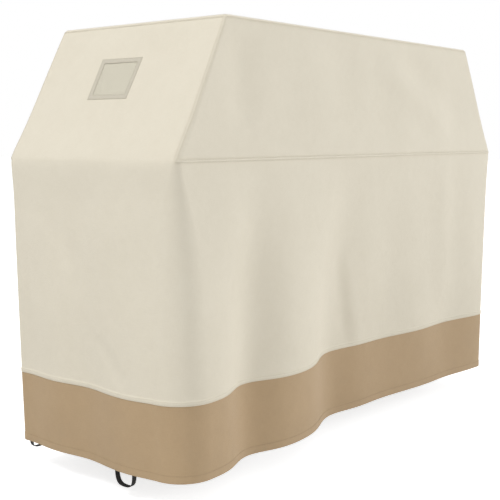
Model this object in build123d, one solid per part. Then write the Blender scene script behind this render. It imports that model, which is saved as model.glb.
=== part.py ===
from build123d import *
import math
import os

# A fitted cloth cover for a gas grill, sewn from flat panels of coated canvas, with a contrasting band
# above the hem, a mesh vent high in each end and four buckled leg straps inside the hem.
# Millimetres. The origin is the middle of the underside of the top panel, which is what lies on the
# grill's lid. +X runs along the grill towards its right end, +Y towards its back, +Z up.

# ---- overall cut ----
LENGTH = 1626.0  # end to end at the shoulder
WIDTH = 610.0  # front to back at the shoulder
ROOF_HEIGHT = 345.0  # shoulder up to the underside of the top panel
SKIRT_HEIGHT = 773.0  # shoulder down to the hem
BAND_HEIGHT = 200.0  # contrasting band above the hem
END_SLOPE_RUN = 189.0  # how far each end leans in from shoulder to top
FACE_SLOPE_RUN = 12.0  # how far front and back lean in from shoulder to top
CLOTH = 1.0  # coated canvas
HEM_TURN = 22.0  # height of the turned and stitched hem
HEM_THICKNESS = 2.2  # cloth there, folded over

# ---- how the cloth hangs ----
SHOULDER_CORNER_R = 12.0
LEFT_FRONT_HEM_R = 92.0  # this corner hangs loose and round
RIGHT_FRONT_HEM_R = 30.0
REAR_HEM_R = 12.0
# Folds of the loose front and back. Shares of the length: place from the middle, half width; and how far
# in the hem hangs there. The back is drawn from outside, so its shares run the other way.
FRONT_FOLDS = ((-0.32, 0.06, 45.0), (-0.055, 0.08, 60.0), (0.1, 0.14, 56.0), (0.33, 0.1, 24.0))
BACK_FOLDS = ((-0.24, 0.09, 16.0), (0.02, 0.1, 26.0), (0.27, 0.08, 20.0))
BAND_FOLD_SHARE = 1.15  # folds at the top of the band, as a share of those at the stiffer hem
FRONT_FOLD_MARGIN = 20.0  # flat cloth between a front corner and the first fold
FOLD_STATIONS = 24
END_TAPER = 20.0  # each end hangs this far in at the hem, because the folds take up length there

# ---- seams ----
TAPE_WIDTH = 12.0
TAPE = 0.8
SEAM_GAP = 0.4  # between a curved panel and the tape sewn along it
TAPE_END_GAP = 15.0  # tapes stop this far short of a corner

# ---- vents ----
VENT_WIDTH = 140.0  # outside the binding
VENT_HEIGHT = 120.0
VENT_BINDING = 14.0
VENT_BINDING_THICKNESS = 1.2
VENT_DROP = 163.0  # top edge down the slope to the middle of the vent
VENT_REARWARD = 18.0
VENT_NET = 0.6
VENT_NET_MARGIN = 6.0
BAFFLE_DEPTH = 28.0
BAFFLE_MARGIN = 10.0

# ---- leg straps ----
WEBBING_WIDTH = 15.0
WEBBING = 1.2
STRAP_CLEARANCE = 1.3  # between the turned hem and the edge of the webbing where it is turned edgeways
PATCH_HEIGHT = 40.0
PATCH_RISE = 118.0  # hem up to the patch's lower edge
STITCH_LENGTH = 28.0  # tail sewn flat on the patch
PLUG_RISE = 46.0  # hem up to the lower edge of the plug
TWIST_LENGTH = 36.0
TWIST_RISE = 3.0  # hem up to the lower end of the twist
FRONT_STRAP_FORWARD = 91.0  # front straps: on the ends, this far forward of the middle
FRONT_STRAP_SPAN = 62.0  # between the two limbs
FRONT_STRAP_HANG = 44.0  # below the hem
REAR_PATCH_GAP = 0.5  # rear straps: on the back, their patches this far from the round of the corner
REAR_STRAP_SPAN = 46.0
REAR_STRAP_HANG = 28.0

# ---- side-release buckle ----
BUCKLE_WIDTH = 22.0
BUCKLE_THICKNESS = 8.0
SOCKET_LENGTH = 24.0
SOCKET_WALL_SIDE = 2.0
SOCKET_WALL_FACE = 1.5
SOCKET_END_WALL = 3.0
WINDOW_LOW = 6.5  # side window above the mouth
WINDOW_HIGH = 16.0
PLUG_BODY = 10.0
BAR = 2.5
BAR_THICKNESS = 3.0
SLOT = 2.7
SLOT_SIDE_GAP = 0.7
TONGUE_WIDTH = 4.0
TONGUE_LENGTH = 18.0
PRONG_X = 6.4
PRONG_ROOT_R = 1.2
PRONG_ROOT_GAP = 0.05
PRONG_ARM = 2.0
PRONG_LENGTH = 16.5
BARB_LOW = WINDOW_LOW + 0.5
BARB_HIGH = WINDOW_HIGH - 1.0
BARB_REACH = 10.4  # from the buckle's middle to the barb's tip
INNER_GAP = 0.4
PLUG_TRAVEL = 30.0
PRONG_SQUEEZE_DEG = 11.0

# ---- worked out ----
SHOULDER_Z = -ROOF_HEIGHT
HEM_Z = SHOULDER_Z - SKIRT_HEIGHT
BAND_Z = HEM_Z + BAND_HEIGHT
STRAP_STANDOFF = HEM_THICKNESS - CLOTH + STRAP_CLEARANCE + WEBBING_WIDTH / 2  # band to strap's middle
REAR_PATCH_WIDTH = REAR_STRAP_SPAN + WEBBING_WIDTH
REAR_STRAP_FROM_END = REAR_HEM_R + REAR_PATCH_GAP + REAR_PATCH_WIDTH / 2
BACK_FOLD_MARGIN = REAR_PATCH_GAP + REAR_PATCH_WIDTH + 15.0  # the back is flat where its patches are sewn
END_ANGLE = math.atan2(END_SLOPE_RUN, ROOF_HEIGHT + CLOTH)
FACE_ANGLE = math.atan2(FACE_SLOPE_RUN, ROOF_HEIGHT + CLOTH)


# ---------------------------------------------------------------- flat panels above the shoulder
def roof_point(end, face, z, depth=0.0):
    """A point where an end's slope meets a face, at height z and that depth under the outer surface."""
    share = (z - SHOULDER_Z) / (ROOF_HEIGHT + CLOTH)
    x = LENGTH / 2 - END_SLOPE_RUN * share - depth / math.cos(END_ANGLE)
    y = WIDTH / 2 - FACE_SLOPE_RUN * share - depth / math.cos(FACE_ANGLE)
    return Vector(end * x, face * y, z)


def block(outer, inner):
    """A flat piece between two four-sided outlines with matching corners."""
    faces = [Face(Wire.make_polygon(outer)), Face(Wire.make_polygon(inner))]
    for i in range(4):
        j = (i + 1) % 4
        faces.append(Face(Wire.make_polygon([outer[i], outer[j], inner[j], inner[i]])))
    return Solid(Shell(faces))


def roof_panel(corners):
    """One panel above the shoulder. corners are (end, face, is at the top)."""
    outer = [roof_point(e, f, CLOTH if top else SHOULDER_Z) for e, f, top in corners]
    inner = [roof_point(e, f, 0.0 if top else SHOULDER_Z, CLOTH) for e, f, top in corners]
    return block(outer, inner)


def face_roof(face):
    return roof_panel([(-1, face, False), (1, face, False), (1, face, True), (-1, face, True)])


def top_panel():
    return roof_panel([(-1, -1, True), (1, -1, True), (1, 1, True), (-1, 1, True)])


def end_roof(end):
    return roof_panel([(end, -1, False), (end, 1, False), (end, 1, True), (end, -1, True)])


# ---------------------------------------------------------------- hanging walls below the shoulder
# Each side is drawn as if it were the front, then turned about Z. name: (turn, corner radius at the hem
# at its start and end, folds, flat margin beside its corners).
FRONT, RIGHT, BACK, LEFT = "front", "right", "back", "left"
SIDES = {
    FRONT: (0, LEFT_FRONT_HEM_R, RIGHT_FRONT_HEM_R, FRONT_FOLDS, FRONT_FOLD_MARGIN),
    RIGHT: (90, RIGHT_FRONT_HEM_R, REAR_HEM_R, (), 0.0),
    BACK: (180, REAR_HEM_R, REAR_HEM_R, BACK_FOLDS, BACK_FOLD_MARGIN),
    LEFT: (270, REAR_HEM_R, LEFT_FRONT_HEM_R, (), 0.0),
}


def fold_share(z):
    """How far the folds and round corners have opened at height z: none at the shoulder, all at the hem."""
    if z > BAND_Z:
        return BAND_FOLD_SHARE * (SHOULDER_Z - z) / (SKIRT_HEIGHT - BAND_HEIGHT)
    return BAND_FOLD_SHARE + (1 - BAND_FOLD_SHARE) * (BAND_Z - z) / BAND_HEIGHT


def half_length(z):
    """Half the cover's length at height z below the shoulder."""
    return LENGTH / 2 - END_TAPER * (SHOULDER_Z - z) / SKIRT_HEIGHT


def corner_r(hem_r, z):
    return SHOULDER_CORNER_R + fold_share(z) * (hem_r - SHOULDER_CORNER_R)


def fold_depth(x, first, last, folds):
    """A sum of bell-shaped folds that dies out at both ends of the folded stretch."""
    deep = sum(hang * math.exp(-((x / LENGTH - place) / wide) ** 2) for place, wide, hang in folds)
    along = (x - first) / (last - first)
    return deep * (1 - (2 * along - 1) ** 8)


def folded_line(first, last, y, z, folds):
    """The wavy stretch of a wall at height z."""
    points = []
    for i in range(FOLD_STATIONS + 1):
        x = first + (last - first) * i / FOLD_STATIONS
        points.append((x, y + fold_share(z) * fold_depth(x, first, last, folds), z))
    return Spline(points)


def section(side, z, inset, corners=True):
    """The wall's line at height z, that far under the outer surface, from one corner seam to the next."""
    _, hem_r_start, hem_r_end, folds, margin = SIDES[side]
    half_long, half_across = half_length(z), WIDTH / 2
    if side in (LEFT, RIGHT):
        half_long, half_across = half_across, half_long
    r_start, r_end = corner_r(hem_r_start, z), corner_r(hem_r_end, z)
    y = -half_across + inset
    start, end = -half_long + r_start, half_long - r_end
    if folds:
        first, last = start + margin, end - margin
        middle = [Line((start, y, z), (first, y, z))]
        middle.append(folded_line(first, last, y, z, folds))
        middle.append(Line((last, y, z), (end, y, z)))
    else:
        middle = [Line((start, y, z), (end, y, z))]
    if not corners:
        return middle
    before = CenterArc((start, -half_across + r_start, z), r_start - inset, 225, 45)
    after = CenterArc((end, -half_across + r_end, z), r_end - inset, 270, 45)
    return [before, *middle, after]


def ribbon(side, z, inset, thick, corners=True):
    """The closed outline of a wall cut across at height z."""
    outer = section(side, z, inset, corners)
    inner = section(side, z, inset + thick, corners)
    ends = [Line(outer[-1] @ 1, inner[-1] @ 1), Line(inner[0] @ 0, outer[0] @ 0)]
    return Wire([e.edge() for e in [*outer, ends[0], *reversed(inner), ends[1]]])


def wall(side, heights, inset=0.0, thick=CLOTH, corners=True):
    """A hanging piece of cloth, straight between its sections at those heights."""
    wires = [ribbon(side, z, inset, thick, corners) for z in heights]
    return Solid.make_loft(wires, ruled=True).rotate(Axis.Z, SIDES[side][0])


def skirt(side):
    return wall(side, (BAND_Z, SHOULDER_Z))


def band(side):
    """The contrasting band, one piece with the turned hem at its foot."""
    hem_top = HEM_Z + HEM_TURN
    return wall(side, (hem_top, BAND_Z)) + wall(side, (HEM_Z, hem_top), thick=HEM_THICKNESS)


# ---------------------------------------------------------------- seam tapes
def shoulder_tapes():
    made = []
    for face in (-1, 1):
        rows = []
        for depth in (CLOTH, CLOTH + TAPE):
            low = roof_point(1, face, SHOULDER_Z, depth)
            high = roof_point(1, face, SHOULDER_Z + TAPE_WIDTH, depth)
            reach = LENGTH / 2 - TAPE_END_GAP - END_SLOPE_RUN * TAPE_WIDTH / ROOF_HEIGHT
            places = ((low, -reach), (low, reach), (high, reach), (high, -reach))
            rows.append([Vector(x, p.Y, p.Z) for p, x in places])
        made.append(block(*rows))
    return made


def hip_tapes():
    """Strips on the inside of both slopes, beside the seams to the front and back panels."""
    made = []
    for end in (-1, 1):
        for face in (-1, 1):
            rows = []
            for depth in (CLOTH, CLOTH + TAPE):
                low = roof_point(end, face, SHOULDER_Z + TAPE_END_GAP, depth)
                high = roof_point(end, face, -TAPE_END_GAP, depth)
                near, far = face * 2 * CLOTH, face * (2 * CLOTH + TAPE_WIDTH)
                places = ((low, near), (low, far), (high, far), (high, near))
                rows.append([Vector(p.X, p.Y - shift, p.Z) for p, shift in places])
            made.append(block(*rows))
    return made


def corner_tape(end, face):
    """A strip up the inside of a vertical corner seam, from the hem's turning to the shoulder."""
    front_r = LEFT_FRONT_HEM_R if end < 0 else RIGHT_FRONT_HEM_R
    hem_r = front_r if face < 0 else REAR_HEM_R
    wires = []
    for z in (HEM_Z + HEM_TURN + 1, BAND_Z, SHOULDER_Z - 1):
        r = corner_r(hem_r, z)
        centre = (end * (half_length(z) - r), face * (WIDTH / 2 - r), z)
        outer_r = r - CLOTH - SEAM_GAP
        reach = math.degrees(TAPE_WIDTH / 2 / outer_r)
        middle = math.degrees(math.atan2(face, end))
        outer = CenterArc(centre, outer_r, middle - reach, 2 * reach)
        inner = CenterArc(centre, outer_r - TAPE, middle - reach, 2 * reach)
        ends = [Line(outer @ 1, inner @ 1), Line(inner @ 0, outer @ 0)]
        wires.append(Wire([e.edge() for e in (outer, ends[0], inner, ends[1])]))
    return Solid.make_loft(wires, ruled=True)


def band_tapes():
    """Strips over the seams between the skirts and the bands, one along each side."""
    heights = (BAND_Z - TAPE_WIDTH / 2, BAND_Z, BAND_Z + TAPE_WIDTH / 2)
    return [wall(side, heights, CLOTH + SEAM_GAP, TAPE, corners=False) for side in SIDES]


# ---------------------------------------------------------------- vents
def vent_plane(end):
    """The outer surface of an end's slope at the middle of its vent. x across, y up the slope, z out."""
    down = VENT_DROP * math.cos(END_ANGLE)
    edge = roof_point(end, 1, CLOTH - down)
    normal = (end * math.cos(END_ANGLE), 0, math.sin(END_ANGLE))
    return Plane(origin=(edge.X, VENT_REARWARD, edge.Z), x_dir=(0, end, 0), z_dir=normal)


def plate(width, height, thick, under):
    """A flat plate centred on the vent, its outer face that far under the slope's outer surface."""
    return Pos(0, 0, -under - thick / 2) * Box(width, height, thick)


def vent_window():
    return VENT_WIDTH - 2 * VENT_BINDING, VENT_HEIGHT - 2 * VENT_BINDING


def vent_binding(end):
    frame = plate(VENT_WIDTH, VENT_HEIGHT, VENT_BINDING_THICKNESS, -VENT_BINDING_THICKNESS)
    hole = plate(*vent_window(), 3 * VENT_BINDING_THICKNESS, -2 * VENT_BINDING_THICKNESS)
    return vent_plane(end).location * (frame - hole)


def vent_net(end):
    width, height = (size + 2 * VENT_NET_MARGIN for size in vent_window())
    return vent_plane(end).location * plate(width, height, VENT_NET, CLOTH)


def vent_baffle(end):
    """A rain flap inside the net: a sloping sheet and two gussets, sewn along the top and both sides."""
    width, height = (size + 2 * BAFFLE_MARGIN for size in vent_window())
    inside = -CLOTH - VENT_NET
    top, foot = height / 2, -height / 2
    sheet_line = [(top, inside), (foot, inside - BAFFLE_DEPTH)]
    sheet_line += [(foot, inside - BAFFLE_DEPTH - CLOTH), (top, inside - CLOTH)]
    gusset_line = [(top - CLOTH, inside), (foot, inside), (foot, inside - BAFFLE_DEPTH)]
    across = Plane(origin=(-width / 2, 0, 0), x_dir=(0, 1, 0), z_dir=(1, 0, 0))
    pieces = [extrude(across * make_face(Polyline(*sheet_line, close=True)), width)]
    triangle = make_face(Polyline(*gusset_line, close=True))
    for shift in (0.0, width - CLOTH):
        pieces.append(extrude(across.offset(shift) * triangle, CLOTH))
    return [vent_plane(end).location * piece for piece in pieces]


def end_panel(side, end):
    """Side and slope of one end, one piece creased at the shoulder, with its vent window."""
    window = vent_plane(end).location * plate(*vent_window(), 4 * CLOTH, -CLOTH)
    return skirt(side) + end_roof(end) - window


# ---------------------------------------------------------------- leg straps
# Drawn with x along the band, y inwards from the band's inner face and z up from the hem. One limb
# hangs at -span/2 and the buckled one at +span/2.
def strap_places():
    """name: (place on the band's inner face at the hem, turn about Z, lean, limb spacing, hang)."""
    places = {}
    lean = math.degrees(math.atan2(END_TAPER, SKIRT_HEIGHT))
    for name, end, turn in (("left", -1, -90), ("right", 1, 90)):
        inner = half_length(HEM_Z) - CLOTH / math.cos(math.radians(lean))
        at = (end * inner, -FRONT_STRAP_FORWARD, HEM_Z)
        places[name + "_front"] = (at, turn, lean, FRONT_STRAP_SPAN, FRONT_STRAP_HANG)
        at = (end * (half_length(HEM_Z) - REAR_STRAP_FROM_END), WIDTH / 2 - CLOTH, HEM_Z)
        places[name + "_rear"] = (at, 180, 0.0, REAR_STRAP_SPAN, REAR_STRAP_HANG)
    return places


def webbing_along(points, x):
    """Webbing lying flat to the band at x, its middle line through (y, z) points."""
    side = Plane(origin=(x - WEBBING_WIDTH / 2, 0, 0), x_dir=(0, 1, 0), z_dir=(1, 0, 0))
    strip = trace(Polyline(*points), WEBBING)
    return extrude(side * strip, WEBBING_WIDTH)


def bar_wrap(bar_z, upwards):
    """(y, z) points of webbing that goes round a bar and lies back beside itself."""
    clear = BAR_THICKNESS / 2 + WEBBING / 2 + 0.2
    below = BAR / 2 + WEBBING / 2 + 0.3
    turn, away = (-below, 9.0) if upwards else (below, -9.0)
    y = STRAP_STANDOFF
    return [(y + clear, bar_z + away), (y + clear, bar_z + turn), (y - clear, bar_z + turn)]


def tail_points():
    """(y, z) points of a tail sewn on its patch, then leaning out to the line of the buckle."""
    flat = PATCH_RISE + PATCH_HEIGHT - 4
    on_patch = CLOTH + WEBBING / 2
    return [(on_patch, flat), (on_patch, flat - STITCH_LENGTH)]


def twist(x, low, high, turn_low, turn_high):
    """Webbing turning a quarter turn as it goes down."""
    steps = 4
    sections = []
    for i in range(steps + 1):
        share = i / steps
        angle = turn_low + (turn_high - turn_low) * share
        at = Plane(origin=(x, STRAP_STANDOFF, low + (high - low) * share))
        sections.append(at * Rot(0, 0, angle) * Rectangle(WEBBING_WIDTH, WEBBING))
    return loft(sections, ruled=True)


def strap_loop(span, hang):
    """The long strap: sewn tail, limb, quarter twist, the loop under the hem, twist and plug wrap."""
    left, right = -span / 2, span / 2
    twist_top = TWIST_RISE + TWIST_LENGTH
    y = STRAP_STANDOFF
    limb = webbing_along([*tail_points(), (y, PATCH_RISE - 22), (y, twist_top)], left)
    bend_r = min(0.45 * span, 0.6 * (hang + TWIST_RISE))
    corners = [(left, TWIST_RISE), (left, -hang), (right, -hang), (right, TWIST_RISE)]
    line = FilletPolyline(*corners, radius=bend_r)
    loop_plane = Plane(origin=(0, y - WEBBING_WIDTH / 2, 0), x_dir=(1, 0, 0), z_dir=(0, -1, 0))
    loop = extrude(loop_plane * trace(line, WEBBING), -WEBBING_WIDTH)
    plug_bar_z = PLUG_RISE + BAR / 2
    wrap = webbing_along([(y - BAR_THICKNESS, twist_top), *reversed(bar_wrap(plug_bar_z, False))], right)
    landing = webbing_along([(y, twist_top - 0.5), (y - BAR_THICKNESS, twist_top + 1.5)], right)
    twists = twist(left, TWIST_RISE, twist_top, 90, 0) + twist(right, TWIST_RISE, twist_top, 90, 0)
    return limb + loop + twists + landing + wrap


def strap_tail(span):
    """The short strap that holds the socket."""
    wrap = bar_wrap(socket_bar_z(), True)
    y = STRAP_STANDOFF
    rise = (wrap[2][0], PATCH_RISE - 8)
    return webbing_along([*tail_points(), rise, wrap[2], wrap[1], wrap[0]], span / 2)


def mouth_z():
    return PLUG_RISE + PLUG_BODY


def socket_bar_z():
    return mouth_z() + SOCKET_LENGTH + SLOT + BAR / 2


def webbing_slot(x, z):
    """The slot that webbing passes through, below or above a bar."""
    return Pos(x, STRAP_STANDOFF, z) * Box(WEBBING_WIDTH + 2 * SLOT_SIDE_GAP, 3 * BUCKLE_THICKNESS, SLOT)


def thin_bar(x, z, beyond):
    """What is cut away beside a bar so that the bar is thinner than the buckle."""
    cut = Box(WEBBING_WIDTH + 2 * SLOT_SIDE_GAP, BUCKLE_THICKNESS, BAR + beyond)
    keep = Box(BUCKLE_WIDTH, BAR_THICKNESS, BAR + beyond)
    return Pos(x, STRAP_STANDOFF, z) * (cut - keep)


def buckle_socket(span):
    x, y, low = span / 2, STRAP_STANDOFF, mouth_z()
    length = SOCKET_LENGTH + SLOT + BAR
    body = Pos(x, y, low + length / 2) * Box(BUCKLE_WIDTH, BUCKLE_THICKNESS, length)
    body = fillet(body.edges().filter_by(Axis.Z), 1.5)
    hollow_wide = BUCKLE_WIDTH - 2 * SOCKET_WALL_SIDE
    hollow_thick = BUCKLE_THICKNESS - 2 * SOCKET_WALL_FACE
    hollow_deep = SOCKET_LENGTH - SOCKET_END_WALL
    hollow = Pos(x, y, low + hollow_deep / 2) * Box(hollow_wide, hollow_thick, hollow_deep)
    window_z = low + (WINDOW_LOW + WINDOW_HIGH) / 2
    window = Pos(x, y, window_z) * Box(2 * BUCKLE_WIDTH, hollow_thick, WINDOW_HIGH - WINDOW_LOW)
    slot_z = low + SOCKET_LENGTH + SLOT / 2
    bar_z = socket_bar_z()
    return body - hollow - window - webbing_slot(x, slot_z) - thin_bar(x, bar_z, 0.01)


def prong_root(span, side):
    """(x, z) of the pivot at the foot of a prong."""
    return span / 2 + side * PRONG_X, mouth_z()


def buckle_plug(span):
    x, y, top = span / 2, STRAP_STANDOFF, mouth_z()
    body = Pos(x, y, top - PLUG_BODY / 2) * Box(BUCKLE_WIDTH, BUCKLE_THICKNESS, PLUG_BODY)
    body = fillet(body.edges().filter_by(Axis.Z), 1.5)
    hollow_thick = BUCKLE_THICKNESS - 2 * SOCKET_WALL_FACE
    tongue_thick = hollow_thick - 2 * INNER_GAP
    tongue = Pos(x, y, top + TONGUE_LENGTH / 2) * Box(TONGUE_WIDTH, tongue_thick, TONGUE_LENGTH)
    body = body + tongue
    for side in (-1, 1):
        pivot_x, pivot_z = prong_root(span, side)
        seat = Cylinder(PRONG_ROOT_R + PRONG_ROOT_GAP, tongue_thick + 2 * INNER_GAP, rotation=(90, 0, 0))
        body = body - Pos(pivot_x, y, pivot_z) * seat
    bar_z = PLUG_RISE + BAR / 2
    slot_z = PLUG_RISE + BAR + SLOT / 2
    return body - webbing_slot(x, slot_z) - thin_bar(x, bar_z, 0.01)


def buckle_prong(span, side):
    """A springy arm with a barb that catches the socket's side window."""
    pivot_x, pivot_z = prong_root(span, side)
    thick = BUCKLE_THICKNESS - 2 * SOCKET_WALL_FACE - 2 * INNER_GAP
    half = PRONG_ARM / 2
    barb = BARB_REACH - PRONG_X
    outline = [(-half, 0), (half, 0), (half, BARB_LOW), (barb, BARB_LOW), (barb, BARB_LOW + 2.5)]
    outline += [(half, BARB_HIGH), (half, PRONG_LENGTH), (-half, PRONG_LENGTH)]
    outline = [(side * along, up) for along, up in outline]
    flat = Plane(origin=(pivot_x, STRAP_STANDOFF + thick / 2, pivot_z), x_dir=(1, 0, 0), z_dir=(0, -1, 0))
    arm = extrude(flat * make_face(Polyline(*outline, close=True)), thick)
    root = Pos(pivot_x, STRAP_STANDOFF, pivot_z) * Cylinder(PRONG_ROOT_R, thick, rotation=(90, 0, 0))
    return arm + root


def anchor_patch(span):
    """The reinforcing patch on the band's inner face that both tails are sewn to."""
    wide = span + WEBBING_WIDTH
    return Pos(0, CLOTH / 2, PATCH_RISE + PATCH_HEIGHT / 2) * Box(wide, CLOTH, PATCH_HEIGHT)


# ---------------------------------------------------------------- all nodes
def nodes():
    made = {
        "top_panel": top_panel(),
        "front_upper_panel": face_roof(-1),
        "back_upper_panel": face_roof(1),
        "front_skirt": skirt(FRONT),
        "back_skirt": skirt(BACK),
        "left_end_panel": end_panel(LEFT, -1),
        "right_end_panel": end_panel(RIGHT, 1),
        "shoulder_seam_tapes": Compound(shoulder_tapes()),
        "hip_seam_tapes": Compound(hip_tapes()),
        "corner_seam_tapes": Compound([corner_tape(e, f) for e in (-1, 1) for f in (-1, 1)]),
        "band_seam_tapes": Compound(band_tapes()),
    }
    for side in SIDES:
        made[side + "_hem_band"] = band(side)
    for name, end in (("left", -1), ("right", 1)):
        made[name + "_vent_binding"] = vent_binding(end)
        made[name + "_vent_net"] = vent_net(end)
        made[name + "_vent_baffle"] = Compound(vent_baffle(end))
    for name, (at, turn, lean, span, hang) in strap_places().items():
        place = Location(at, (0, 0, turn)) * Rot(lean, 0, 0)
        made[name + "_strap_loop"] = place * strap_loop(span, hang)
        made[name + "_strap_tail"] = place * strap_tail(span)
        made[name + "_strap_patch"] = place * anchor_patch(span)
        made[name + "_buckle_socket"] = place * buckle_socket(span)
        made[name + "_buckle_plug"] = place * buckle_plug(span)
        made[name + "_buckle_prong_a"] = place * buckle_prong(span, -1)
        made[name + "_buckle_prong_b"] = place * buckle_prong(span, 1)
    return made


os.makedirs("parts", exist_ok=True)
for node, shape in nodes().items():
    export_step(shape, os.path.join("parts", node + ".step"))
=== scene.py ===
import contextlib
import math

import bmesh
import bpy
import numpy as np
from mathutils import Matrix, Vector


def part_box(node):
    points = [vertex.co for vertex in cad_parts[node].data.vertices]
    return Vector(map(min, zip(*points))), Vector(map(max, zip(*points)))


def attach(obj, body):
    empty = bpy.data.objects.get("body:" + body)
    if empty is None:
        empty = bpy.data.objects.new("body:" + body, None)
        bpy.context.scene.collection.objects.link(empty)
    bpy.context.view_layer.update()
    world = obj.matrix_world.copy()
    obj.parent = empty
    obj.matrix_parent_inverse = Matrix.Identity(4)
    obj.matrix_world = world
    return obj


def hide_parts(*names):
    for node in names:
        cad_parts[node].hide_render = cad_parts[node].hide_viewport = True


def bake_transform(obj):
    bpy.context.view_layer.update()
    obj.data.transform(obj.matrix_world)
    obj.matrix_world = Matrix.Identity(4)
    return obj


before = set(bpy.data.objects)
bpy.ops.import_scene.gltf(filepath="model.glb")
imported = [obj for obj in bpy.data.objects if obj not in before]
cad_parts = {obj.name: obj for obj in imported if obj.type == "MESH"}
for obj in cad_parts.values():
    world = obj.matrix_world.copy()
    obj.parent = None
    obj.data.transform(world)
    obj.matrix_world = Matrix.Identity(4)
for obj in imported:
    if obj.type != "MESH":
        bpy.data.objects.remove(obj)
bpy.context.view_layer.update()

# ------------------------------------------------------------------ how the cover hangs
# The cover is one bag of coated canvas pulled over the grill: a flat lid, slopes down to a shoulder
# at both ends, and straight skirts that hang free below it and fall into soft folds. Every panel,
# seam and stitch below takes its place from this one hanging surface.
_, roof_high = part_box("front_upper_panel")
_, lid_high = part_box("top_panel")
HALF_LENGTH, TOP_Z = roof_high[0], roof_high[2]
HALF_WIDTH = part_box("left_end_panel")[1][1]
SLOPE_RUN, FACE_RUN = HALF_LENGTH - lid_high[0], HALF_WIDTH - lid_high[1]
SHOULDER_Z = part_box("front_skirt")[1][2]
BAND_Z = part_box("front_skirt")[0][2]
HEM_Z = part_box("front_hem_band")[0][2]
# how far the ends lean in, per metre of drop
TAPER = (HALF_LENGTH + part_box("left_hem_band")[0][0]) / (SHOULDER_Z - BAND_Z)
EDGE_ROLL = 0.007  # radius where the cloth turns over on to the lid
SHOULDER_EASE = 0.03  # how softly the slopes start, as a share of the roof's height
EDGE_Z = TOP_Z - EDGE_ROLL * (1 - math.cos(math.radians(45)))  # the lid's seam, half way round that turn
CORNER_COLUMNS = 0.04  # share of a wall's columns that go round each half corner
SHOULDER_R, HIP_R = 0.024, 0.010  # corner radii at the shoulder and at the lid
SHOULDER_PUSH = 0.006  # the ends are pushed out here by the grill's side shelves
CORNER_OPENS = 0.25  # the drop below the shoulder over which a corner first opens
LEFT_FRONT, RIGHT_FRONT, REAR = 0.092, 0.03, 0.014  # corner radii at the hem
BAND_FOLD_SHARE = 1.15  # folds at the top of the band against those at the stiffer hem

# Folds of each wall, as it is seen from outside: place of the middle, half width, depth at the hem.
FRONT_FOLDS = ((-0.520, 0.098, 0.045), (-0.089, 0.134, 0.056), (0.163, 0.232, 0.053), (0.537, 0.163, 0.024))
BACK_FOLDS = ((-0.390, 0.146, 0.016), (0.033, 0.163, 0.026), (0.439, 0.130, 0.020))
LEFT_FOLDS = ((-0.16, 0.07, -0.006), (0.115, 0.10, -0.012), (-0.03, 0.06, 0.004))
RIGHT_FOLDS = ((-0.10, 0.09, -0.008), (0.10, 0.08, 0.006))
# Pulls and creases: a line from x, z to x, z on its wall, half width, and depth, outwards if negative.
CREASES = {
    "front": (
        (0.06, -0.06, 0.52, -0.29, 0.045, -0.0055),
        (0.18, -0.03, 0.62, -0.22, 0.045, 0.003),
        (-0.60, -0.03, -0.56, -0.27, 0.055, 0.007),
        (-0.085, -0.62, 0.03, -0.95, 0.028, 0.0032),
        (-0.045, -0.60, 0.07, -0.93, 0.030, -0.0025),
        (0.48, -0.36, 0.53, -0.88, 0.055, -0.0045),
    ),
    "right": ((-0.12, -0.20, 0.10, -0.42, 0.03, 0.003),),
    "back": ((-0.35, -0.10, -0.05, -0.30, 0.035, 0.005), (0.22, -0.12, 0.45, -0.33, 0.03, -0.005)),
    "left": ((-0.20, -0.46, -0.05, -0.62, 0.03, 0.002), (0.02, -0.78, 0.12, -0.90, 0.025, 0.003)),
}
# wall: quarter turns from the front, hem radius at its first and last corner, folds
WALLS = {
    "front": (0, LEFT_FRONT, RIGHT_FRONT, FRONT_FOLDS),
    "right": (1, RIGHT_FRONT, REAR, RIGHT_FOLDS),
    "back": (2, REAR, REAR, BACK_FOLDS),
    "left": (3, REAR, LEFT_FRONT, LEFT_FOLDS),
}


def smooth_step(x, low, high):
    """0 below low, 1 above high, and a cubic between."""
    t = np.clip((x - low) / (high - low), 0, 1)
    return t * t * (3 - 2 * t)


def bell(x, middle, wide):
    return np.exp(-((x - middle) / wide) ** 2)


def roof_share(z):
    """How far up the roof: a straight ramp from the shoulder, its start eased by a hyperbola."""
    h = (z - SHOULDER_Z) / (TOP_Z - SHOULDER_Z)
    return (h + np.sqrt(h * h + SHOULDER_EASE**2)) / 2


def fold_share(z):
    """How far the folds have opened: none at the shoulder, most at the top of the band."""
    down = np.clip((SHOULDER_Z - z) / (SHOULDER_Z - BAND_Z), 0, None)
    past = np.clip((BAND_Z - z) / (BAND_Z - HEM_Z), 0, 1)
    opened = np.minimum(down, 1) * (1.4 - 0.4 * np.minimum(down, 1))
    return BAND_FOLD_SHARE * opened + (1 - BAND_FOLD_SHARE) * past


def crease_depth(wall, x, z):
    """Each crease is a bell across its line, faded out by a quartic towards its two ends."""
    total = 0
    for x0, z0, x1, z1, wide, deep in CREASES[wall]:
        long = math.hypot(x1 - x0, z1 - z0)
        along = ((x - x0) * (x1 - x0) + (z - z0) * (z1 - z0)) / long**2
        across = ((x - x0) * (z1 - z0) - (z - z0) * (x1 - x0)) / long
        total = total + deep * bell(across, 0, wide) * np.clip(1 - (2 * along - 1) ** 4, 0, 1)
    return total


def slack(x, z, seed, size):
    """Unevenness of slack cloth: a sum of eight slow plane waves in fixed, uneven directions."""
    rng = np.random.default_rng(seed)
    total = 0
    for _ in range(8):
        angle, wave, phase = rng.uniform(0, math.pi), rng.uniform(0.16, 0.6), rng.uniform(0, 2 * math.pi)
        run = x * math.cos(angle) + z * math.sin(angle)
        total = total + np.sin(2 * math.pi * run / wave + phase) * wave
    return total * size


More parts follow.
